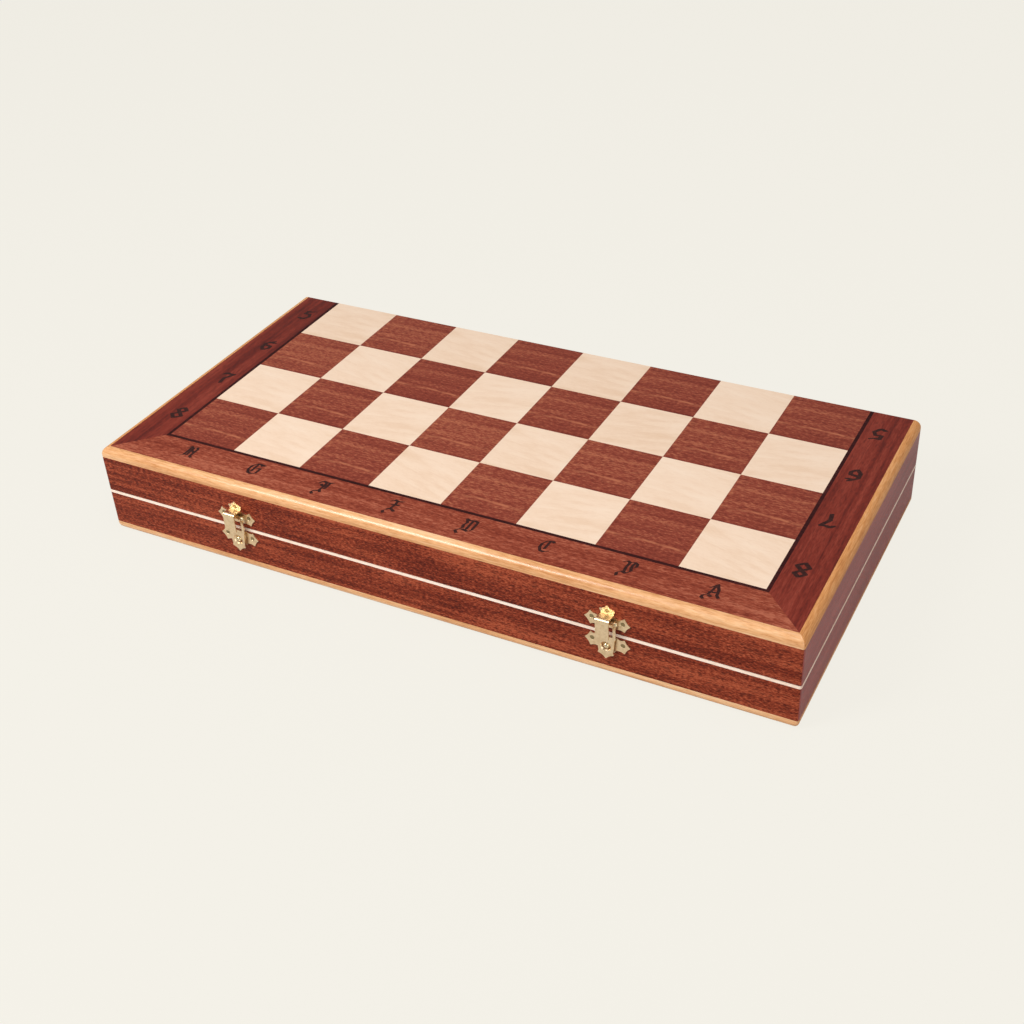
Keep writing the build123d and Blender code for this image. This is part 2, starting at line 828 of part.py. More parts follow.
def insert():
    """The flocked tray: a thin floor all over, and a thicker half with the pockets."""
    floor = block(
        -inner_half + insert_clearance,
        inner_half - insert_clearance,
        inner_front + insert_clearance,
        inner_back - insert_clearance,
        edging_height,
        edging_height + insert_floor,
    )
    pocket_half = block(
        insert_middle - pocket_clearance,
        inner_half - insert_clearance,
        inner_front + insert_clearance,
        inner_back - insert_clearance,
        edging_height,
        edging_height + insert_height,
    )
    tray = floor + pocket_half
    for name, x, y in tray_places():
        _, height, base, head_share = MEN[name]
        length = height + felt_thickness + 2 * pocket_clearance
        width = 2 * (base + pocket_clearance)
        pocket = Box(width, length, insert_height, align=(Align.CENTER, Align.MIN, Align.MIN))
        pocket = fillet(pocket.edges().filter_by(Axis.Z), pocket_round)
        rest_height = base * (1 - head_share)
        rest_length = head_rest_share * length
        rest = Pos(0, length - rest_length, 0) * Box(
            width, rest_length, rest_height, align=(Align.CENTER, Align.MIN, Align.MIN)
        )
        tray = tray - Pos(x, y - pocket_clearance, POCKET_FLOOR) * (pocket - rest)
    return tray


def leaf_nodes(leaf, place, rim, back_cuts, front_cuts):
    """The fixed wooden pieces of one leaf; place puts each in the lower or the upper leaf."""
    left, right = ("left", "right") if leaf == "lower" else ("right", "left")
    walls = {name: wall(name, rim) for name in WALLS}
    return {
        f"{leaf}_panel": [place(piece) for piece in panel()],
        f"{leaf}_wall_front": [cut_all(place(walls["front"]), front_cuts)],
        f"{leaf}_wall_back": [place(cut_all(walls["back"], back_cuts))],
        f"{leaf}_wall_left": [place(walls[left])],
        f"{leaf}_wall_right": [place(walls[right])],
        f"{leaf}_dark_squares": [place(piece) for piece in squares(dark=True)],
        f"{leaf}_light_squares": [place(piece) for piece in squares(dark=False)],
        f"{leaf}_inlay_lines": [place(piece) for piece in inlay_lines()],
        f"{leaf}_border_front": [place(piece) for piece in border_front_strip()],
        f"{leaf}_border_sides": [place(piece) for piece in border_side_strips()],
        f"{leaf}_edging_front": [place(piece) for piece in edging_front_strip()],
        f"{leaf}_edging_sides": [place(piece) for piece in edging_side_strips()],
        f"{leaf}_insert": [place(insert())],
    }


def men_nodes(colour, place):
    """The sixteen men of one colour and their felts."""
    plural = {name: name if name in ("king", "queen") else name + "s" for name in MEN}
    nodes = {f"{colour}_{plural[name]}": man_set(name) for name in MEN}
    nodes[f"{colour}_felt_pads"] = felt_pads()
    return {name: [place(piece) for piece in pieces] for name, pieces in nodes.items()}


def hinge_nodes():
    """Hinge leaves, pins and screws."""
    outer_leaves = [hinge_leaf(x, 0, 1) for x in (-hinge_place, hinge_place)]
    inner_leaves = [turned_over(hinge_leaf(x, 1, 0)) for x in (-hinge_place, hinge_place)]
    return {
        "hinge_leaves_lower": outer_leaves,
        "hinge_leaves_upper": inner_leaves,
        "hinge_pins": hinge_pins(),
        "hinge_screws_lower": hinge_screws(),
        "hinge_screws_upper": [turned_over(screw) for screw in hinge_screws()],
    }


def latch_nodes():
    """Latch plates, flaps with their pins, and nails."""
    nodes = {
        "latch_plates_upper": [on_front(upper_plate(), x) for x in LATCH_PLACES],
        "latch_plates_lower": [on_front(lower_plate(), x) for x in LATCH_PLACES],
        "latch_nails_upper": nails(UPPER_NAILS),
        "latch_nails_lower": nails(LOWER_NAILS),
    }
    for side, x in (("left", left_latch_place), ("right", right_latch_place)):
        nodes[f"latch_flap_{side}"] = [on_front(flap(), x)]
        nodes[f"latch_pin_{side}"] = [on_front(flap_pin(), x)]
    return nodes


def same_place(shape):
    """A piece that is already where it belongs."""
    return shape


def chess_set():
    """Every node of the set, by name."""
    room = hinge_room()
    walls_rim = leaf_height - lipping_thickness
    nodes = leaf_nodes("lower", same_place, walls_rim, room, nail_bores(LOWER_NAILS))
    nodes.update(leaf_nodes("upper", turned_over, leaf_height, room, nail_bores(UPPER_NAILS)))
    nodes["lower_rim_lipping"] = [lipping("front"), cut_all(lipping("back"), room)]
    nodes["lower_rim_lipping_sides"] = [lipping("left"), lipping("right")]
    nodes.update(men_nodes("white", same_place))
    nodes.update(men_nodes("black", turned_over))
    nodes.update(hinge_nodes())
    nodes.update(latch_nodes())
    return nodes


os.makedirs("parts", exist_ok=True)
for node, pieces in chess_set().items():
    export_step(pieces[0] if len(pieces) == 1 else Compound(pieces), f"parts/{node}.step")
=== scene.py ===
"""Finishes, lettering, light and camera for the folding chess set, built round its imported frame."""

import logging
import math
from dataclasses import dataclass, field
from enum import Enum
from typing import Any

import bpy
from mathutils import Matrix, Vector


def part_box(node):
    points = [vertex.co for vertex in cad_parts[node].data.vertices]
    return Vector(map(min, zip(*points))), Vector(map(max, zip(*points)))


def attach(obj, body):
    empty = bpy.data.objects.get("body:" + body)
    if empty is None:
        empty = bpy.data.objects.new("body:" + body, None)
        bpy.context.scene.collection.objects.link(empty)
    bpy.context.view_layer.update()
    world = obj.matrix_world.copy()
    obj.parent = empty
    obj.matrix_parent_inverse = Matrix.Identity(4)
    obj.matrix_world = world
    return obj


logging.basicConfig(level=logging.INFO, format="%(message)s")
log = logging.getLogger("chess_set")

Colour = tuple[float, float, float]
Point = tuple[float, float]
Place = tuple[float, float, float]

# The playing field in metres: the side of a square, half the field's length and the place of its front.
SQUARE = 0.052
FIELD_HALF = 4 * SQUARE
FIELD_FRONT = -0.088



class Grain(Enum):
    """The direction that a piece of wood's grain runs in."""

    ALONG_X = 0.0
    ALONG_Y = math.pi / 2


def deselect_all() -> None:
    """Leaves object mode with nothing selected."""
    if bpy.context.object and bpy.context.object.mode != "OBJECT":
        bpy.ops.object.mode_set(mode="OBJECT")
    bpy.ops.object.select_all(action="DESELECT")


class Tree:
    """A short hand for the nodes and links of one material or node group."""

    def __init__(self, nodes: Any) -> None:
        """Keeps the node tree that the methods add to."""
        self.tree = nodes

    def add(self, kind: str, **settings: Any) -> Any:
        """Adds a node.

        Args:
            kind: the node's type name, without the word ShaderNode.
            settings: attributes of the node.

        Returns:
            The new node.
        """
        node = self.tree.nodes.new("ShaderNode" + kind)
        for name, value in settings.items():
            setattr(node, name, value)
        return node

    def feed(self, socket: Any, value: Any) -> None:
        """Links an output to a socket, or sets the socket to a plain value.

        Args:
            socket: the input to feed.
            value: an output, a colour or a number.
        """
        if isinstance(value, bpy.types.NodeSocket):
            self.tree.links.new(value, socket)
        elif isinstance(value, tuple) and len(value) == 3 and socket.type == "RGBA":
            socket.default_value = (*value, 1.0)
        else:
            socket.default_value = value

    def math(self, operation: str, first: Any, second: Any = 0.0, third: Any = 0.0) -> Any:
        """Adds a Math node and returns its output."""
        node = self.add("Math", operation=operation)
        for socket, value in zip(node.inputs, (first, second, third)):
            self.feed(socket, value)
        return node.outputs[0]

    def mix(self, factor: Any, first: Any, second: Any, blend: str = "MIX") -> Any:
        """Adds a colour Mix node and returns its output."""
        node = self.add("Mix", data_type="RGBA", blend_type=blend)
        self.feed(node.inputs["Factor"], factor)
        self.feed(node.inputs["A"], first)
        self.feed(node.inputs["B"], second)
        return node.outputs["Result"]

    def span(self, value: Any, low: float, high: float, to_low: float = 0.0, to_high: float = 1.0) -> Any:
        """Maps a value from one range to another, held within the second.

        Args:
            value: the output to map.
            low: the start of the first range.
            high: the end of the first range.
            to_low: the start of the second range.
            to_high: the end of the second range.

        Returns:
            The mapped output.
        """
        node = self.add("MapRange", clamp=True)
        for socket, part in zip(node.inputs, (value, low, high, to_low, to_high)):
            self.feed(socket, part)
        return node.outputs[0]

    def noise(
        self, vector: Any, scale: Any, detail: float = 4.0, rough: float = 0.55, twist: float = 0.0
    ) -> Any:
        """Adds a Noise Texture.

        Args:
            vector: the coordinates.
            scale: cells per metre.
            detail: the number of finer layers.
            rough: how strong the finer layers are.
            twist: how far the pattern is distorted.

        Returns:
            The factor output, about 0.3 to 0.7.
        """
        node = self.add("TexNoise", noise_dimensions="3D")
        self.feed(node.inputs["Vector"], vector)
        self.feed(node.inputs["Scale"], scale)
        self.feed(node.inputs["Detail"], detail)
        self.feed(node.inputs["Roughness"], rough)
        self.feed(node.inputs["Distortion"], twist)
        return node.outputs["Fac"]

    def place(self, turn: float = 0.0, shift: Place = (0.0, 0.0, 0.0)) -> Any:
        """Object coordinates, turned about Z and shifted.

        Args:
            turn: the angle about Z in radians.
            shift: the shift in metres.

        Returns:
            The vector output.
        """
        source = self.add("TexCoord").outputs["Object"]
        node = self.add("Mapping")
        self.feed(node.inputs["Vector"], source)
        node.inputs["Rotation"].default_value = (0, 0, turn)
        node.inputs["Location"].default_value = shift
        return node.outputs[0]

    def bump(self, height: Any, strength: float, distance: float) -> Any:
        """Adds a Bump node and returns its normal."""
        node = self.add("Bump")
        node.inputs["Strength"].default_value = strength
        node.inputs["Distance"].default_value = distance
        self.feed(node.inputs["Height"], height)
        return node.outputs["Normal"]


def new_group(
    name: str, inputs: dict[str, tuple[str, Any]], outputs: dict[str, str]
) -> tuple[Any, Tree, Any, Any]:
    """Starts a shader node group.

    Args:
        name: the group's name.
        inputs: socket kind and starting value by input name.
        outputs: socket kind by output name.

    Returns:
        The group, a Tree on it, its input node's outputs and its output node's inputs.
    """
    group = bpy.data.node_groups.new(name, "ShaderNodeTree")
    for label, (kind, value) in inputs.items():
        socket = group.interface.new_socket(label, in_out="INPUT", socket_type=kind)
        if value is not None:
            socket.default_value = value
    for label, kind in outputs.items():
        group.interface.new_socket(label, in_out="OUTPUT", socket_type=kind)
    tree = Tree(group)
    entry = group.nodes.new("NodeGroupInput")
    leave = group.nodes.new("NodeGroupOutput")
    return group, tree, entry.outputs, leave.inputs


FLOAT = "NodeSocketFloat"
VECTOR = "NodeSocketVector"


def grain_group() -> Any:
    """Short fibres, long broad streaks, open pores and soft clouds, along the vector's X."""
    group, tree, entry, leave = new_group(
        "Grain",
        {"Vector": (VECTOR, None), "Length": (FLOAT, 30.0), "Dash": (FLOAT, 6.0), "Fibres": (FLOAT, 1400.0)},
        {"Fibre": FLOAT, "Streak": FLOAT, "Pore": FLOAT, "Cloud": FLOAT},
    )
    parts = tree.add("SeparateXYZ")
    tree.feed(parts.inputs[0], entry["Vector"])

    def stretched(length: Any) -> Any:
        """The vector with its X pressed together by length."""
        joined = tree.add("CombineXYZ")
        tree.feed(joined.inputs[0], tree.math("DIVIDE", parts.outputs[0], length))
        tree.feed(joined.inputs[1], parts.outputs[1])
        tree.feed(joined.inputs[2], parts.outputs[2])
        return joined.outputs[0]

    long = stretched(entry["Length"])
    short = stretched(entry["Dash"])
    tree.feed(leave["Fibre"], tree.noise(short, entry["Fibres"], 3.0, 0.6))
    streaks = tree.math("MULTIPLY", entry["Fibres"], 0.16)
    tree.feed(leave["Streak"], tree.noise(long, streaks, 3.0, 0.55, 0.5))
    pores = tree.noise(short, tree.math("MULTIPLY", entry["Fibres"], 0.7), 1.0, 0.5)
    tree.feed(leave["Pore"], tree.span(pores, 0.56, 0.64))
    clouds = tree.math("MULTIPLY", entry["Fibres"], 0.035)
    tree.feed(leave["Cloud"], tree.noise(stretched(4.0), clouds, 2.0, 0.5, 0.3))
    return group


def tile_group() -> Any:
    """Coordinates within one square, a random value for each square and the joint lines between them."""
    group, tree, entry, leave = new_group(
        "Tile",
        {"Vector": (VECTOR, None), "Square": (FLOAT, SQUARE), "Wander": (FLOAT, 0.0), "Turn": (FLOAT, 0.0)},
        {"Vector": VECTOR, "Chance": FLOAT, "Joint": FLOAT},
    )
    parts = tree.add("SeparateXYZ")
    tree.feed(parts.inputs[0], entry["Vector"])
    cells = []
    inner = []
    edges = []
    for index in range(2):
        count = tree.math("DIVIDE", parts.outputs[index], entry["Square"])
        cell = tree.math("FLOOR", count)
        share = tree.math("SUBTRACT", count, cell)
        cells.append(cell)
        inner.append(tree.math("MULTIPLY", share, entry["Square"]))
        edges.append(tree.math("ABSOLUTE", tree.math("SUBTRACT", share, 0.5)))
    seed = tree.add("CombineXYZ")
    tree.feed(seed.inputs[0], cells[0])
    tree.feed(seed.inputs[1], cells[1])
    chance = tree.add("TexWhiteNoise", noise_dimensions="3D")
    tree.feed(chance.inputs["Vector"], seed.outputs[0])
    joined = tree.add("CombineXYZ")
    drift = tree.math("MULTIPLY", chance.outputs["Value"], entry["Wander"])
    tree.feed(joined.inputs[0], tree.math("ADD", inner[0], tree.math("MULTIPLY", drift, 20.0)))
    tree.feed(joined.inputs[1], tree.math("ADD", inner[1], drift))
    tree.feed(joined.inputs[2], drift)
    turned = tree.add("VectorRotate", rotation_type="Z_AXIS")
    tree.feed(turned.inputs["Vector"], joined.outputs[0])
    skew = tree.math("SUBTRACT", tree.math("FRACT", tree.math("MULTIPLY", chance.outputs["Value"], 7.0)), 0.5)
    tree.feed(turned.inputs["Angle"], tree.math("MULTIPLY", skew, entry["Turn"]))
    tree.feed(leave["Vector"], turned.outputs[0])
    tree.feed(leave["Chance"], chance.outputs["Value"])
    furthest = tree.math("MAXIMUM", edges[0], edges[1])
    tree.feed(leave["Joint"], tree.span(furthest, 0.4965, 0.499))
    return group


class Groups:
    """The shared node groups, each made once."""

    def __init__(self) -> None:
        """Builds every group."""
        self.grain = grain_group()
        self.tile = tile_group()


# The pale vein of a square: its distance from the square's front, its half width and how far it sways.
VEIN_PLACE = 0.016
VEIN_WIDTH = 0.0016
VEIN_SWAY = 0.012

# How far squares differ in the place of their grain and in tone, and how dark the joints between them are.
TILE_WANDER = 0.0008
TILE_TONE = 0.22
JOINT_SHADE = 0.45


@dataclass(frozen=True)
class WoodFinish:
    """A lacquered wood: its colours, the run and size of its grain and its gloss."""

    name: str
    base: Colour
    light: Colour
    dark: Colour
    pore: Colour
    # The grain: its direction, the stretch of streaks and of fibres, and fibres per metre.
    grain: Grain = Grain.ALONG_X
    length: float = 30.0
    dash: float = 6.0
    fibres: float = 1300.0
    # How strongly each layer of the grain shows in the colour.
    fibre: float = 2.4
    streak: float = 1.6
    cloud: float = 0.8
    pores: float = 0.3
    roughness: float = 0.38
    specular: float = 0.3
    coat: float = 0.05
    # Squares: cut apart square by square, with a pale vein, and each turned by up to half this angle.
    tiled: bool = False
    vein: float = 0.0
    turn: float = 0.0

    def veins(self, tree: Tree, vector: Any) -> Any:
        """A pale vein along the lower part of each square, thin, wandering and broken.

        Args:
            tree: the material's tree.
            vector: coordinates within a square.

        Returns:
            The strength of the vein.
        """
        parts = tree.add("SeparateXYZ")
        tree.feed(parts.inputs[0], vector)
        sway = tree.math("MULTIPLY", tree.math("SUBTRACT", tree.noise(vector, 26.0, 2.0), 0.5), VEIN_SWAY)
        away = tree.math("SUBTRACT", tree.math("ADD", parts.outputs[1], sway), VEIN_PLACE)
        line = tree.span(tree.math("ABSOLUTE", away), 0.0, VEIN_WIDTH, 1.0, 0.0)
        return tree.math("MULTIPLY", line, tree.span(tree.noise(vector, 75.0, 2.0), 0.34, 0.54))

    def material(self, groups: Groups) -> bpy.types.Material:
        """Builds the wood's material.

        Args:
            groups: the shared node groups.

        Returns:
            The material.
        """
        material = bpy.data.materials.new(self.name)
        material.use_nodes = True
        tree = Tree(material.node_tree)
        shader = material.node_tree.nodes["Principled BSDF"]
        vector = tree.place(self.grain.value)
        chance: Any = None
        joint: Any = None
        if self.tiled:
            tile = tree.add("Group", node_tree=groups.tile)
            tree.feed(tile.inputs["Vector"], tree.place(0.0, (0.0, -FIELD_FRONT, 0.0)))
            tile.inputs["Wander"].default_value = TILE_WANDER
            tile.inputs["Turn"].default_value = self.turn
            vector = tile.outputs["Vector"]
            chance = tile.outputs["Chance"]
            joint = tile.outputs["Joint"]
        grain = tree.add("Group", node_tree=groups.grain)
        tree.feed(grain.inputs["Vector"], vector)
        grain.inputs["Length"].default_value = self.length
        grain.inputs["Dash"].default_value = self.dash
        grain.inputs["Fibres"].default_value = self.fibres
        tone: Any = 0.5
        for layer, share in (("Fibre", self.fibre), ("Streak", self.streak), ("Cloud", self.cloud)):
            tone = tree.math("MULTIPLY_ADD", tree.math("SUBTRACT", grain.outputs[layer], 0.5), share, tone)
        if chance is not None:
            tone = tree.math("MULTIPLY_ADD", tree.math("SUBTRACT", chance, 0.5), TILE_TONE, tone)
        colour = tree.mix(tree.span(tone, 0.0, 0.5), self.dark, self.base)
        colour = tree.mix(tree.span(tone, 0.5, 1.0), colour, self.light)
        if self.vein:
            colour = tree.mix(tree.math("MULTIPLY", self.veins(tree, vector), self.vein), colour, self.light)
        colour = tree.mix(tree.math("MULTIPLY", grain.outputs["Pore"], self.pores), colour, self.pore)
        if joint is not None:
            colour = tree.mix(tree.math("MULTIPLY", joint, JOINT_SHADE), colour, self.pore)
        tree.feed(shader.inputs["Base Color"], colour)
        low, high = self.roughness - 0.05, self.roughness + 0.07
        tree.feed(shader.inputs["Roughness"], tree.span(grain.outputs["Fibre"], 0.35, 0.65, low, high))
        shader.inputs["Specular IOR Level"].default_value = self.specular
        shader.inputs["Coat Weight"].default_value = self.coat
        shader.inputs["Coat Roughness"].default_value = 0.16
        fibres = tree.math("MULTIPLY", grain.outputs["Fibre"], 0.6)
        relief = tree.math("SUBTRACT", fibres, grain.outputs["Pore"])
        tree.feed(shader.inputs["Normal"], tree.bump(relief, 0.25, 0.00008))
        return material


@dataclass(frozen=True)
class BrassFinish:
    """Sheet or wire brass, brushed or polished, with dull patches."""

    name: str
    colour: Colour
    tarnish: Colour
    roughness: float = 0.32
    brush: float = 0.5
    patch: float = 0.35

    def material(self, groups: Groups) -> bpy.types.Material:
        """Builds the brass material.

        Args:
            groups: the shared node groups.

        Returns:
            The material.
        """
        material = bpy.data.materials.new(self.name)
        material.use_nodes = True
        tree = Tree(material.node_tree)
        shader = material.node_tree.nodes["Principled BSDF"]
        shader.inputs["Metallic"].default_value = 1.0
        vector = tree.place(Grain.ALONG_X.value)
        grain = tree.add("Group", node_tree=groups.grain)
        tree.feed(grain.inputs["Vector"], vector)
        grain.inputs["Length"].default_value = 12.0
        grain.inputs["Fibres"].default_value = 5200.0
        patches = tree.span(tree.noise(vector, 420.0, 4.0, 0.6), 0.42, 0.70)
        tone = tree.mix(tree.math("MULTIPLY", patches, self.patch), self.colour, self.tarnish)
        tree.feed(shader.inputs["Base Color"], tone)
        lines = tree.span(grain.outputs["Fibre"], 0.3, 0.7, -0.5, 0.5)
        rough = tree.math("MULTIPLY_ADD", lines, 0.22 * self.brush, self.roughness)
        rough = tree.math("MULTIPLY_ADD", patches, 0.12, rough)
        tree.feed(shader.inputs["Roughness"], rough)
        tree.feed(shader.inputs["Normal"], tree.bump(grain.outputs["Fibre"], 0.3 * self.brush, 0.00006))
        return material


@dataclass(frozen=True)
class FlockFinish:
    """Short pile: flock on a tray or felt under a man."""

    name: str
    colour: Colour
    tip: Colour
    pile: float = 2600.0

    def material(self, groups: Groups) -> bpy.types.Material:
        """Builds the pile's material.

        Args:
            groups: the shared node groups, not used here.

        Returns:
            The material.
        """
        material = bpy.data.materials.new(self.name)
        material.use_nodes = True
        tree = Tree(material.node_tree)
        shader = material.node_tree.nodes["Principled BSDF"]
        vector = tree.place()
        pile = tree.noise(vector, self.pile, 6.0, 0.7)
        brushed = tree.span(tree.noise(vector, 38.0, 3.0, 0.5, 0.8), 0.35, 0.65)
        tone = tree.mix(tree.span(pile, 0.35, 0.7), self.colour, self.tip)
        tone = tree.mix(tree.math("MULTIPLY", brushed, 0.35), tone, self.tip)
        tree.feed(shader.inputs["Base Color"], tone)
        shader.inputs["Roughness"].default_value = 0.95
        shader.inputs["Sheen Weight"].default_value = 0.5
        shader.inputs["Sheen Roughness"].default_value = 0.45
        shader.inputs["Specular IOR Level"].default_value = 0.2
        tree.feed(shader.inputs["Normal"], tree.bump(pile, 0.6, 0.0003))
        return material


@dataclass(frozen=True)
class PlyFinish:
    """Plywood seen on its edge: thin layers that change with height."""

    name: str
    pale: Colour
    deep: Colour
    layer: float = 0.0012

    def material(self, groups: Groups) -> bpy.types.Material:
        """Builds the plywood's material.

        Args:
            groups: the shared node groups.

        Returns:
            The material.
        """
        material = bpy.data.materials.new(self.name)
        material.use_nodes = True
        tree = Tree(material.node_tree)
        shader = material.node_tree.nodes["Principled BSDF"]
        vector = tree.place()
        parts = tree.add("SeparateXYZ")
        tree.feed(parts.inputs[0], vector)
        height = tree.math("ADD", parts.outputs[2], tree.math("MULTIPLY", tree.noise(vector, 90.0), 0.0002))
        step = tree.math("PINGPONG", height, self.layer)
        band = tree.span(step, 0.42 * self.layer, 0.58 * self.layer)
        grain = tree.add("Group", node_tree=groups.grain)
        tree.feed(grain.inputs["Vector"], vector)
        fibre = tree.span(grain.outputs["Fibre"], 0.35, 0.65)
        tone = tree.mix(band, self.pale, self.deep)
        tone = tree.mix(tree.math("MULTIPLY", fibre, 0.4), tone, self.deep)
        tree.feed(shader.inputs["Base Color"], tone)
        shader.inputs["Roughness"].default_value = 0.6
        shader.inputs["Specular IOR Level"].default_value = 0.15
        tree.feed(shader.inputs["Normal"], tree.bump(fibre, 0.2, 0.00008))
        return material


@dataclass(frozen=True)
class BurntFinish:
    """The dark burnt or printed lettering, a little uneven."""

    name: str
    colour: Colour
    edge: Colour

    def material(self, groups: Groups) -> bpy.types.Material:
        """Builds the lettering's material.

        Args:
            groups: the shared node groups, not used here.

        Returns:
            The material.
        """
        material = bpy.data.materials.new(self.name)
        material.use_nodes = True
        tree = Tree(material.node_tree)
        shader = material.node_tree.nodes["Principled BSDF"]
        worn = tree.span(tree.noise(tree.place(), 900.0, 5.0, 0.65), 0.45, 0.72)
        tree.feed(shader.inputs["Base Color"], tree.mix(worn, self.colour, self.edge))
        tree.feed(shader.inputs["Roughness"], tree.span(worn, 0.0, 1.0, 0.42, 0.55))
        shader.inputs["Specular IOR Level"].default_value = 0.2
        return material


SAPELE_SQUARE = WoodFinish(
    "sapele_square", base=(0.262, 0.050, 0.028), light=(0.470, 0.150, 0.075), dark=(0.150, 0.022, 0.013),
    pore=(0.110, 0.018, 0.012), length=24.0, dash=3.6, fibre=2.1, streak=1.3, specular=0.15, roughness=0.45,
    tiled=True, vein=1.0,
)
MAPLE_SQUARE = WoodFinish(
    "maple_square", base=(0.865, 0.650, 0.485), light=(0.900, 0.705, 0.545), dark=(0.780, 0.545, 0.375),
    pore=(0.720, 0.480, 0.320), length=5.5, dash=3.0, fibres=800.0, fibre=0.5, streak=1.5, cloud=0.5,
    pores=0.1, specular=0.15, roughness=0.45, tiled=True, turn=0.6,
)
SAPELE_FRONT_BORDER = WoodFinish(
    "sapele_front_border", base=(0.285, 0.058, 0.030), light=(0.430, 0.125, 0.070),
    dark=(0.170, 0.026, 0.014), pore=(0.110, 0.018, 0.012), length=30.0, dash=4.0, fibre=2.6, specular=0.1,
    roughness=0.45, coat=0.0,
)
SAPELE_SIDE_BORDER = WoodFinish(
    "sapele_side_border", base=(0.180, 0.022, 0.012), light=(0.270, 0.045, 0.026), dark=(0.085, 0.010, 0.007),
    pore=(0.055, 0.008, 0.006), grain=Grain.ALONG_Y, length=40.0, streak=1.8, fibre=1.3, specular=0.2,
    roughness=0.42,
)
SAPELE_WALL = WoodFinish(
    "sapele_wall", base=(0.216, 0.031, 0.012), light=(0.410, 0.088, 0.038), dark=(0.090, 0.010, 0.005),
    pore=(0.045, 0.006, 0.004), length=34.0, dash=3.6, fibres=1600.0, fibre=3.6, streak=1.9, cloud=1.0,
    pores=0.55, specular=0.1, roughness=0.4, coat=0.0,
)
SAPELE_SIDE_WALL = WoodFinish(
    "sapele_side_wall", base=(0.295, 0.040, 0.032), light=(0.385, 0.072, 0.056), dark=(0.205, 0.023, 0.019),
    pore=(0.110, 0.012, 0.011), grain=Grain.ALONG_Y, length=34.0, dash=3.6, fibres=1600.0, fibre=3.0,
    streak=1.6, pores=0.45, roughness=0.34, specular=0.55, coat=0.0,
)
INLAY = WoodFinish(
    "dyed_line", base=(0.038, 0.007, 0.007), light=(0.060, 0.012, 0.011), dark=(0.022, 0.005, 0.005),
    pore=(0.014, 0.003, 0.003), roughness=0.5, specular=0.1, coat=0.0,
)
EDGING_FRONT = WoodFinish(
    "edging_front", base=(0.750, 0.390, 0.172), light=(0.850, 0.530, 0.290), dark=(0.560, 0.245, 0.088),
    pore=(0.440, 0.190, 0.070), length=40.0, dash=9.0, fibre=1.6, streak=2.0, cloud=1.2, pores=0.2,
    roughness=0.3, coat=0.25,
)
EDGING_SIDE = WoodFinish(
    "edging_side", base=(0.680, 0.305, 0.108), light=(0.790, 0.430, 0.200), dark=(0.500, 0.190, 0.060),
    pore=(0.360, 0.150, 0.050), grain=Grain.ALONG_Y, length=40.0, dash=9.0, fibre=1.6, streak=1.8, pores=0.2,
    specular=0.1, roughness=0.45, coat=0.0,
)
LIPPING = WoodFinish(
    "maple_lipping", base=(0.960, 0.780, 0.640), light=(0.980, 0.840, 0.730), dark=(0.880, 0.650, 0.500),
    pore=(0.650, 0.420, 0.300), pores=0.15, roughness=0.4,
)
# The same maple lipping on the side strips, darker and more orange than on the front: painted shade for the
# dimly lit sides.
LIPPING_SIDE_PAINTED_SHADE = WoodFinish(
    "maple_lipping_side_painted_shade", base=(0.860, 0.640, 0.500), light=(0.920, 0.740, 0.610), dark=(0.720, 0.480, 0.340),
    pore=(0.600, 0.380, 0.270), grain=Grain.ALONG_Y, length=40.0, streak=1.8, pores=0.15, roughness=0.45,
)
HORNBEAM = WoodFinish(
    "hornbeam", base=(0.740, 0.500, 0.260), light=(0.820, 0.600, 0.350), dark=(0.600, 0.360, 0.160),
    pore=(0.460, 0.270, 0.120), grain=Grain.ALONG_Y, length=26.0, fibre=1.2, streak=1.4, pores=0.15,
    roughness=0.26, specular=0.5, coat=0.5,
)
STAINED_HORNBEAM = WoodFinish(
    "stained_hornbeam", base=(0.085, 0.026, 0.012), light=(0.150, 0.050, 0.022), dark=(0.045, 0.014, 0.008),
    pore=(0.020, 0.008, 0.005), grain=Grain.ALONG_Y, length=26.0, fibre=1.6, streak=1.8, pores=0.3,
    roughness=0.24, specular=0.5, coat=0.55,
)

PLY = PlyFinish("plywood", pale=(0.80, 0.56, 0.34), deep=(0.52, 0.27, 0.12))
FLOCK = FlockFinish("flock", colour=(0.010, 0.075, 0.035), tip=(0.030, 0.16, 0.080))
FELT = FlockFinish("felt", colour=(0.012, 0.090, 0.045), tip=(0.035, 0.18, 0.095), pile=3400.0)
LATCH_BRASS = BrassFinish(
    "latch_brass", colour=(0.92, 0.72, 0.46), tarnish=(0.62, 0.43, 0.22), patch=0.55
)
HINGE_BRASS = BrassFinish(
    "hinge_brass", colour=(0.76, 0.57, 0.27), tarnish=(0.55, 0.38, 0.16), roughness=0.24
)
PIN_BRASS = BrassFinish(
    "pin_brass", colour=(0.80, 0.67, 0.42), tarnish=(0.62, 0.48, 0.26), roughness=0.2, brush=0.2
)
NAIL_BRASS = BrassFinish(
    "nail_brass", colour=(0.34, 0.26, 0.13), tarnish=(0.14, 0.10, 0.05), roughness=0.36, brush=0.2
)
BURNT = BurntFinish("burnt_lettering", colour=(0.026, 0.007, 0.006), edge=(0.075, 0.019, 0.014))


class Wardrobe:
    """Makes each finish's material once and puts it on nodes and pieces."""

    def __init__(self, groups: Groups) -> None:
        """Keeps the shared groups and an empty store of materials."""
        self.groups = groups
        self.made: dict[str, bpy.types.Material] = {}

    def get(self, finish: Any) -> bpy.types.Material:
        """The finish's material, made on first use."""
        if finish.name not in self.made:
            self.made[finish.name] = finish.material(self.groups)
        return self.made[finish.name]

    def dress(self, thing: bpy.types.Object, finish: Any) -> None:
        """Gives an object one finish all over.

        Args:
            thing: a node of the frame or a new piece.
            finish: any of the finishes.
        """
        material = self.get(finish)
        slots = thing.material_slots
        if not slots:
            thing.data.materials.append(material)
        for slot in slots:
            slot.material = material


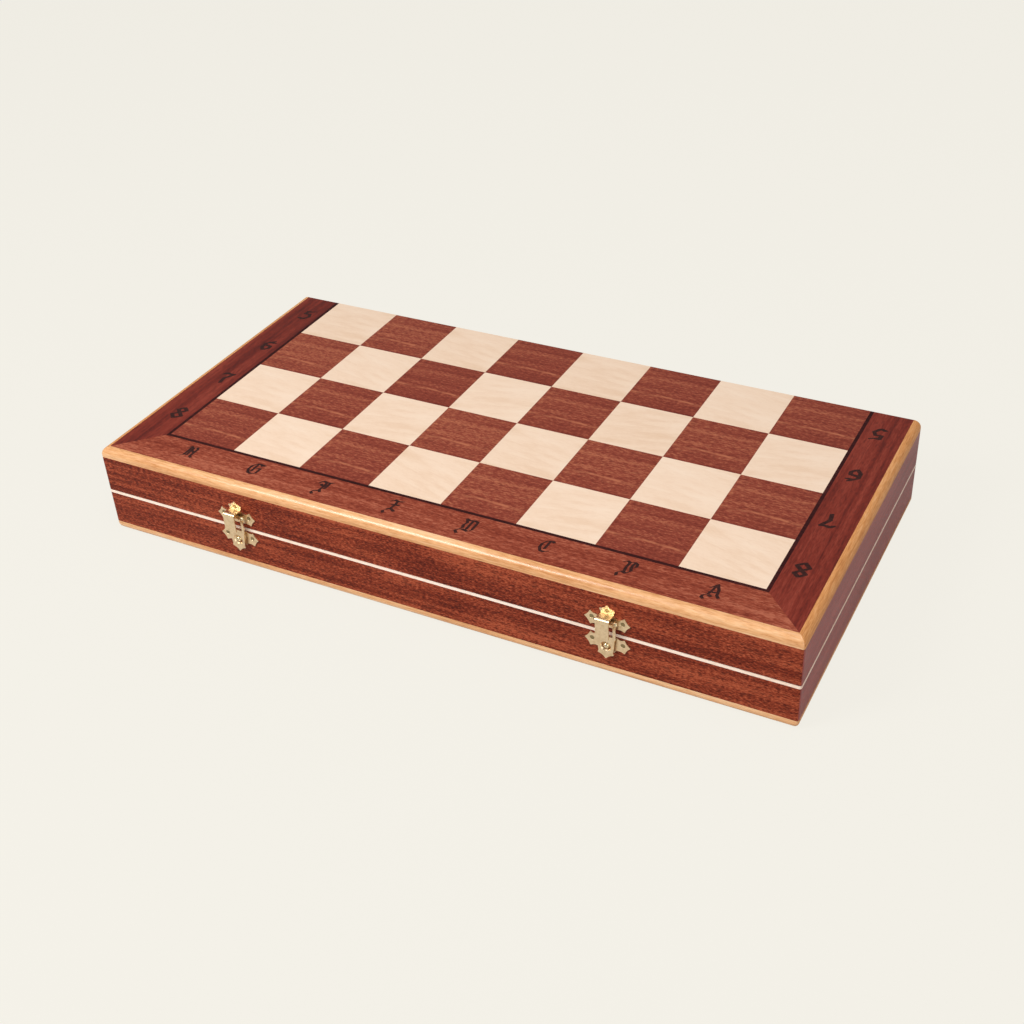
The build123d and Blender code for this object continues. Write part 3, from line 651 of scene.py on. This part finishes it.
# Pen strokes of each glyph, in a box whose body is one unit high; x grows to the right.
GLYPHS: dict[str, list[list[Point]]] = {
    "A": [
        [(0.20, 0.66), (0.44, 1.00)],
        [(0.44, 1.00), (0.62, 0.60), (0.66, 0.20), (0.80, 0.02)],
        [(0.42, 0.94), (0.34, 0.50), (0.24, 0.14), (0.04, 0.00), (0.02, -0.16), (0.14, -0.26)],
        [(0.24, 0.34), (0.58, 0.38)],
        [(0.28, 0.10), (0.44, 0.02)],
    ],
    "B": [
        [(0.04, 0.90), (0.20, 1.00), (0.36, 0.90), (0.56, 1.00), (0.74, 0.90), (0.76, 0.66), (0.56, 0.54)],
        [(0.34, 0.90), (0.30, 0.50), (0.34, 0.14)],
        [(0.56, 0.90), (0.54, 0.56), (0.64, 0.30), (0.46, 0.06), (0.22, 0.14)],
        [(0.22, 0.14), (0.04, -0.04), (0.10, -0.26)],
    ],
    "C": [
        [(0.60, 0.88), (0.46, 0.98), (0.22, 0.90), (0.06, 0.62), (0.06, 0.30), (0.22, 0.04), (0.42, 0.02)]
        + [(0.58, 0.14)],
        [(0.38, 0.94), (0.34, 0.24)],
    ],
    "D": [
        [(0.10, 0.98), (0.30, 0.90), (0.56, 0.98), (0.78, 0.90), (0.78, 0.20), (0.62, 0.02), (0.28, 0.10)],
        [(0.16, 0.92), (0.28, 0.70), (0.18, 0.44), (0.26, 0.20), (0.10, 0.00), (0.00, -0.12), (0.16, -0.30)],
        [(0.50, 0.92), (0.48, 0.12)],
    ],
    "E": [
        [(0.02, 0.82), (0.16, 0.98), (0.42, 0.90), (0.66, 0.98)],
        [(0.36, 0.92), (0.38, 0.56), (0.32, 0.20)],
        [(0.22, 0.56), (0.60, 0.60)],
        [(0.16, 0.14), (0.36, 0.20), (0.62, 0.04)],
        [(0.24, 0.10), (0.04, -0.10), (0.14, -0.26)],
    ],
    "F": [
        [(0.04, 0.74), (0.16, 0.98), (0.44, 0.90), (0.76, 1.00)],
        [(0.40, 0.92), (0.44, 0.60), (0.38, 0.20), (0.50, 0.02)],
        [(0.18, 0.70), (0.30, 0.56), (0.62, 0.60)],
        [(0.60, 0.92), (0.58, 0.36)],
        [(0.38, 0.10), (0.14, 0.02), (0.06, -0.14), (0.20, -0.26)],
    ],
    "G": [
        [(0.66, 0.84), (0.50, 0.98), (0.26, 0.94), (0.10, 0.72), (0.08, 0.36), (0.22, 0.08), (0.46, 0.02)]
        + [(0.66, 0.12)],
        [(0.36, 0.94), (0.34, 0.20)],
        [(0.50, 0.56), (0.70, 0.60), (0.68, 0.14)],
        [(0.56, 0.96), (0.80, 0.92)],
    ],
    "H": [
        [(0.02, 0.80), (0.16, 0.98), (0.30, 0.86)],
        [(0.22, 0.92), (0.24, 0.50), (0.22, 0.10), (0.08, 0.00)],
        [(0.24, 0.52), (0.44, 0.62), (0.62, 0.50)],
        [(0.54, 0.98), (0.66, 0.86), (0.64, 0.12), (0.78, 0.02)],
        [(0.38, 0.92), (0.40, 0.14)],
    ],
    "1": [
        [(0.12, 0.76), (0.32, 0.98)],
        [(0.32, 0.98), (0.32, 0.06)],
        [(0.14, 0.04), (0.52, 0.06)],
    ],
    "2": [
        [(0.08, 0.76), (0.26, 0.96), (0.50, 0.78), (0.10, 0.10)],
        [(0.10, 0.08), (0.34, 0.14), (0.58, 0.02)],
    ],
    "3": [
        [(0.08, 0.82), (0.30, 0.98), (0.50, 0.80), (0.24, 0.56)],
        [(0.24, 0.56), (0.54, 0.34), (0.30, 0.02), (0.06, 0.14)],
    ],
    "4": [
        [(0.40, 0.98), (0.06, 0.30)],
        [(0.06, 0.28), (0.60, 0.32)],
        [(0.42, 0.66), (0.42, 0.02)],
    ],
    "5": [
        [(0.12, 0.90), (0.34, 0.86), (0.54, 0.98)],
        [(0.16, 0.88), (0.12, 0.58)],
        [(0.12, 0.58), (0.40, 0.62), (0.52, 0.36), (0.30, 0.02), (0.04, 0.12)],
    ],
    "6": [
        [(0.46, 0.98), (0.12, 0.66), (0.12, 0.26), (0.32, 0.02), (0.54, 0.26), (0.52, 0.46), (0.14, 0.52)],
        [(0.28, 0.82), (0.56, 0.82)],
    ],
    "7": [
        [(0.04, 0.80), (0.14, 0.96), (0.32, 0.90), (0.56, 0.94)],
        [(0.56, 0.94), (0.28, 0.46), (0.34, 0.02)],
    ],
    "8": [
        [(0.30, 0.54), (0.08, 0.74), (0.30, 0.98), (0.54, 0.78), (0.30, 0.54)],
        [(0.30, 0.54), (0.04, 0.30), (0.30, 0.02), (0.58, 0.28), (0.30, 0.54)],
    ],
}


@dataclass(frozen=True)
class Spot:
    """Where a glyph sits on a playing face: its centre, and the signs of its right, up and outward ways."""

    centre: Vector
    right: float
    up: float
    outward: float


@dataclass
class Pen:
    """A broad nib held at a slant, which draws strokes as thin closed solids let into a playing face.

    The nib is a narrow oblong, nib long and hairline wide; sunk and proud are how far the strokes reach
    below and above the face, and step is how much higher each dab lies than the last.
    """

    nib: float = 0.0019
    hairline: float = 0.0004
    slant: float = math.radians(40)
    sunk: float = 0.00008
    proud: float = 0.00001
    step: float = 0.000003

    def dab(self, start: Vector, end: Vector, spot: Spot, order: int) -> None:
        """Sweeps the nib straight from one place to another, in the mesh open in edit mode.

        Args:
            start: where the nib is set down.
            end: where it is lifted.
            spot: the glyph's place and directions.
            order: how many dabs went before this one.
        """
        proud = self.proud + order * self.step
        middle = spot.outward * (proud - self.sunk) / 2
        shape = (self.nib, self.hairline, self.sunk + proud)
        bpy.ops.mesh.primitive_cube_add(size=1.0, location=(0, 0, 0))
        bpy.ops.transform.resize(value=shape, center_override=(0, 0, 0))
        turn = self.slant * spot.right * spot.up
        bpy.ops.transform.rotate(value=-turn, orient_axis="Z", center_override=(0, 0, 0))
        bpy.ops.transform.translate(value=(start.x, start.y, spot.centre.z + middle))
        bpy.ops.mesh.duplicate_move(TRANSFORM_OT_translate={"value": (end.x - start.x, end.y - start.y, 0)})
        bpy.ops.mesh.select_all(action="SELECT")
        bpy.ops.mesh.convex_hull()
        bpy.ops.mesh.hide(unselected=False)

    def draw(self, name: str, glyph: str, height: float, spot: Spot) -> bpy.types.Object:
        """Draws one glyph.

        Args:
            name: the new object's name.
            glyph: the character.
            height: the height of its body in metres.
            spot: where it goes.

        Returns:
            The drawn object, at the origin and unturned.
        """
        deselect_all()
        bpy.ops.mesh.primitive_cube_add(size=1.0, location=(0, 0, 0))
        piece = bpy.context.object
        piece.name = name
        piece.data.name = name
        bpy.ops.object.mode_set(mode="EDIT")
        bpy.ops.mesh.delete(type="VERT")
        strokes = GLYPHS[glyph]
        width = max(x for stroke in strokes for x, _ in stroke)
        order = 0
        for stroke in strokes:
            points = [
                Vector((
                    spot.centre.x + spot.right * (x - width / 2) * height,
                    spot.centre.y + spot.up * (y - 0.5) * height,
                    0.0,
                ))
                for x, y in stroke
            ]
            for start, end in zip(points, points[1:]):
                self.dab(start, end, spot, order)
                order += 1
        bpy.ops.mesh.reveal()
        bpy.ops.object.mode_set(mode="OBJECT")
        return piece


@dataclass
class Lettering:
    """The coordinates round the field of one leaf, drawn on its playing face.

    The columns are named from left to right for someone who looks at the face with the latches towards
    them, and the rows away from the latches. The letter line and the digit columns go through the middles
    of the glyphs.
    """

    leaf: str
    columns: str
    rows: str
    outward: float
    letter_height: float = 0.0119
    digit_height: float = 0.0143
    letter_line: float = -0.0993
    digit_column: float = 0.2206

    def build(self, wardrobe: Wardrobe) -> None:
        """Draws the letters along the latch side and the digits up both ends, as one piece.

        Args:
            wardrobe: what dresses the piece.
        """
        low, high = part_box(f"{self.leaf}_border_front")
        face = high.z if self.outward > 0 else low.z
        pen = Pen()
        broad_pen = Pen(nib=0.0025, hairline=0.0011, slant=math.radians(25))
        glyphs = []
        for index, letter in enumerate(self.columns):
            across = (index + 0.5) * SQUARE - FIELD_HALF
            centre = Vector((across * self.outward, self.letter_line, face))
            spot = Spot(centre, right=self.outward, up=1.0, outward=self.outward)
            glyphs.append(pen.draw(f"{self.leaf}_letter_{letter}", letter, self.letter_height, spot))
        for index, digit in enumerate(self.rows):
            along = FIELD_FRONT + (index + 0.5) * SQUARE
            for side in (-1.0, 1.0):
                centre = Vector((side * self.digit_column, along, face))
                spot = Spot(centre, right=-side, up=-side * self.outward, outward=self.outward)
                glyphs.append(broad_pen.draw(f"{self.leaf}_digit_{digit}", digit, self.digit_height, spot))
        deselect_all()
        for glyph in glyphs:
            glyph.select_set(True)
        bpy.context.view_layer.objects.active = glyphs[0]
        bpy.ops.object.join()
        piece = bpy.context.object
        piece.name = f"{self.leaf}_coordinates"
        piece.data.name = piece.name
        wardrobe.dress(piece, BURNT)
        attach(piece, f"{self.leaf}_leaf")
        log.info("%s: %d glyphs", piece.name, len(glyphs))


@dataclass
class StudHead:
    """The round head of the stud on a lower latch plate, seen through the hole of the flap.

    The drop is from the flap's pin down to the stud; proud and seated are how far the head reaches in front
    of and behind the stud's tip.
    """

    side: str
    radius: float = 0.0019
    drop: float = 0.0178
    proud: float = 0.0013
    seated: float = 0.0004

    def build(self, wardrobe: Wardrobe) -> None:
        """Models the head from a ball, cut flat behind and pressed, on the stud's tip.

        Args:
            wardrobe: what dresses the head.
        """
        pin_low, pin_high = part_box(f"latch_pin_{self.side}")
        across = (pin_low.x + pin_high.x) / 2
        height = (pin_low.z + pin_high.z) / 2 - self.drop
        plates_low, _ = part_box("latch_plates_lower")
        deselect_all()
        bpy.ops.mesh.primitive_uv_sphere_add(
            segments=48, ring_count=24, radius=self.radius, location=(0, 0, 0)
        )
        piece = bpy.context.object
        piece.name = f"stud_head_{self.side}"
        piece.data.name = piece.name
        bpy.ops.object.mode_set(mode="EDIT")
        bpy.ops.mesh.select_all(action="SELECT")
        bpy.ops.mesh.bisect(plane_co=(0, 0, 0), plane_no=(0, 1, 0), use_fill=True, clear_outer=True)
        bpy.ops.mesh.select_all(action="SELECT")
        reach = (self.proud + self.seated) / self.radius
        bpy.ops.transform.resize(value=(1.0, reach, 1.0), center_override=(0, 0, 0))
        bpy.ops.transform.translate(value=(across, plates_low.y + self.seated, height))
        bpy.ops.object.mode_set(mode="OBJECT")
        bpy.ops.object.shade_smooth_by_angle(angle=math.radians(40))
        wardrobe.dress(piece, PIN_BRASS)
        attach(piece, "lower_leaf")
        log.info("%s: stud head %.1f mm across", piece.name, self.radius * 2000)


@dataclass(frozen=True)
class Lamp:
    """A soft square lamp that looks at the case: its place, the side of its square and its watts."""

    name: str
    place: Place
    size: float
    power: float
    target: Place = (0.0, 0.0, 0.03)

    def build(self) -> None:
        """Hangs the lamp and turns it to the case."""
        data = bpy.data.lights.new(self.name, "AREA")
        data.size = self.size
        data.energy = self.power
        lamp = bpy.data.objects.new(self.name, data)
        lamp.location = self.place
        sight = Vector(self.target) - Vector(self.place)
        lamp.rotation_euler = sight.to_track_quat("-Z", "Y").to_euler()
        bpy.context.scene.collection.objects.link(lamp)


@dataclass
class Stage:
    """The pale floor, the soft light and the camera at the photographed angle.

    The camera looks at aim from distance, at an azimuth and elevation and rolled a little. The floor and
    the backdrop show the camera their own plain colours; showing is the floor's share of it.
    """

    aim: Place = (0.02117, -0.03555, 0.0322)
    distance: float = 0.92554
    azimuth: float = math.radians(29.265)
    elevation: float = math.radians(34.928)
    roll: float = math.radians(-3.3455)
    lens: float = 50.518
    sensor: float = 36.0
    floor_size: float = 12.0
    floor_depth: float = 0.0002
    floor_colour: Colour = (0.60, 0.585, 0.55)
    floor_shown: Colour = (0.917, 0.891, 0.816)
    showing: float = 0.92
    backdrop: Colour = (0.896, 0.871, 0.799)
    sky: Colour = (1.0, 1.0, 1.0)
    sky_strength: float = 0.25
    lamps: tuple[Lamp, ...] = (
        Lamp("key", place=(-0.64, -1.02, 1.04), size=0.55, power=17.5),
        Lamp("top", place=(0.35, -0.15, 1.7), size=1.0, power=10.5),
        Lamp("fill", place=(1.3, -0.8, 0.5), size=1.0, power=6.0),
    )

    def camera(self) -> None:
        """Adds the camera."""
        data = bpy.data.cameras.new("camera")
        data.lens = self.lens
        data.sensor_width = self.sensor
        data.clip_start = 0.01
        camera = bpy.data.objects.new("camera", data)
        turn = (
            Matrix.Rotation(self.azimuth, 4, "Z")
            @ Matrix.Rotation(math.pi / 2 - self.elevation, 4, "X")
            @ Matrix.Rotation(self.roll, 4, "Z")
        )
        away = turn.to_3x3() @ Vector((0, 0, self.distance))
        camera.matrix_world = Matrix.Translation(Vector(self.aim) + away) @ turn
        bpy.context.scene.collection.objects.link(camera)
        bpy.context.scene.camera = camera

    def floor(self) -> None:
        """Adds the floor, whose colour is the background's and which keeps a soft shadow."""
        deselect_all()
        bpy.ops.mesh.primitive_plane_add(size=self.floor_size, location=(0, 0, -self.floor_depth))
        floor = bpy.context.object
        floor.name = "floor"
        material = bpy.data.materials.new("floor")
        material.use_nodes = True
        tree = Tree(material.node_tree)
        nodes = material.node_tree.nodes
        shader = nodes["Principled BSDF"]
        shader.inputs["Base Color"].default_value = (*self.floor_colour, 1.0)
        shader.inputs["Roughness"].default_value = 0.9
        shader.inputs["Specular IOR Level"].default_value = 0.1
        glow = tree.add("Emission")
        glow.inputs["Color"].default_value = (*self.floor_shown, 1.0)
        rays = tree.add("LightPath")
        blend = tree.add("MixShader")
        tree.feed(blend.inputs[0], tree.math("MULTIPLY", rays.outputs["Is Camera Ray"], self.showing))
        tree.feed(blend.inputs[1], shader.outputs[0])
        tree.feed(blend.inputs[2], glow.outputs[0])
        tree.feed(nodes["Material Output"].inputs["Surface"], blend.outputs[0])
        floor.data.materials.append(material)

    def world(self) -> None:
        """Lights all round with plain white, and shows the background colour to the camera."""
        world = bpy.data.worlds.new("studio")
        world.use_nodes = True
        tree = Tree(world.node_tree)
        nodes = world.node_tree.nodes
        light = nodes["Background"]
        light.inputs["Color"].default_value = (*self.sky, 1.0)
        light.inputs["Strength"].default_value = self.sky_strength
        backdrop = tree.add("Background")
        backdrop.inputs["Color"].default_value = (*self.backdrop, 1.0)
        rays = tree.add("LightPath")
        blend = tree.add("MixShader")
        tree.feed(blend.inputs[0], rays.outputs["Is Camera Ray"])
        tree.feed(blend.inputs[1], light.outputs[0])
        tree.feed(blend.inputs[2], backdrop.outputs[0])
        tree.feed(nodes["World Output"].inputs["Surface"], blend.outputs[0])
        bpy.context.scene.world = world

    def build(self) -> None:
        """Sets up the whole stage."""
        bpy.context.scene.view_settings.view_transform = "Standard"
        self.floor()
        self.world()
        for lamp in self.lamps:
            lamp.build()
        self.camera()
        log.info("stage: floor, world, %d lamps and camera", len(self.lamps))


@dataclass
class Dresser:
    """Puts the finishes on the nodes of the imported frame."""

    wardrobe: Wardrobe
    nodes: dict[str, bpy.types.Object]
    leaf_finishes: dict[str, Any] = field(
        default_factory=lambda: {
            "panel": PLY,
            "wall_front": SAPELE_WALL,
            "wall_back": SAPELE_WALL,
            "wall_left": SAPELE_SIDE_WALL,
            "wall_right": SAPELE_SIDE_WALL,
            "dark_squares": SAPELE_SQUARE,
            "light_squares": MAPLE_SQUARE,
            "inlay_lines": INLAY,
            "border_front": SAPELE_FRONT_BORDER,
            "border_sides": SAPELE_SIDE_BORDER,
            "edging_front": EDGING_FRONT,
            "edging_sides": EDGING_SIDE,
            "rim_lipping": LIPPING,
            "rim_lipping_sides": LIPPING_SIDE_PAINTED_SHADE,
            "insert": FLOCK,
        }
    )
    other_finishes: dict[str, Any] = field(
        default_factory=lambda: {
            "white_": HORNBEAM,
            "black_": STAINED_HORNBEAM,
            "hinge_": HINGE_BRASS,
            "latch_plates": LATCH_BRASS,
            "latch_flap": LATCH_BRASS,
            "latch_pin": PIN_BRASS,
            "latch_nails": NAIL_BRASS,
        }
    )

    def finish_of(self, name: str) -> Any:
        """Finds the finish of a node.

        Args:
            name: the node's name.

        Returns:
            The finish.
        """
        for leaf in ("lower_", "upper_"):
            if name.startswith(leaf):
                return self.leaf_finishes[name.removeprefix(leaf)]
        for start, finish in self.other_finishes.items():
            if name.startswith(start):
                return FELT if name.endswith("felt_pads") else finish
        raise KeyError(name)

    def dress_all(self) -> None:
        """Dresses every node."""
        for name, thing in sorted(self.nodes.items()):
            self.wardrobe.dress(thing, self.finish_of(name))
        log.info("dressed %d nodes", len(self.nodes))


def main(frame: dict[str, Any]) -> None:
    """Dresses the frame, draws the lettering, adds the stud heads and sets the stage.
    """
    wardrobe = Wardrobe(Groups())
    Dresser(wardrobe, frame["nodes"]).dress_all()
    Lettering("upper", columns="HGFEDCBA", rows="8765", outward=1.0).build(wardrobe)
    Lettering("lower", columns="ABCDEFGH", rows="1234", outward=-1.0).build(wardrobe)
    for side in ("left", "right"):
        StudHead(side).build(wardrobe)
    Stage().build()


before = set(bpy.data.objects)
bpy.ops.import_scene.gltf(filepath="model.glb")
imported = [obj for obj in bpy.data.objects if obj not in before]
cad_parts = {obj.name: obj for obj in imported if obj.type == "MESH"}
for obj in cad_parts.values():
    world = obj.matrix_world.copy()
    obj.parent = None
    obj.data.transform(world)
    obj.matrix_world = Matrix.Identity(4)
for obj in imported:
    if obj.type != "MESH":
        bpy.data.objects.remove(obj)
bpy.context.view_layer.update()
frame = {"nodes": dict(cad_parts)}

if __name__ == "__main__":
    main(frame)
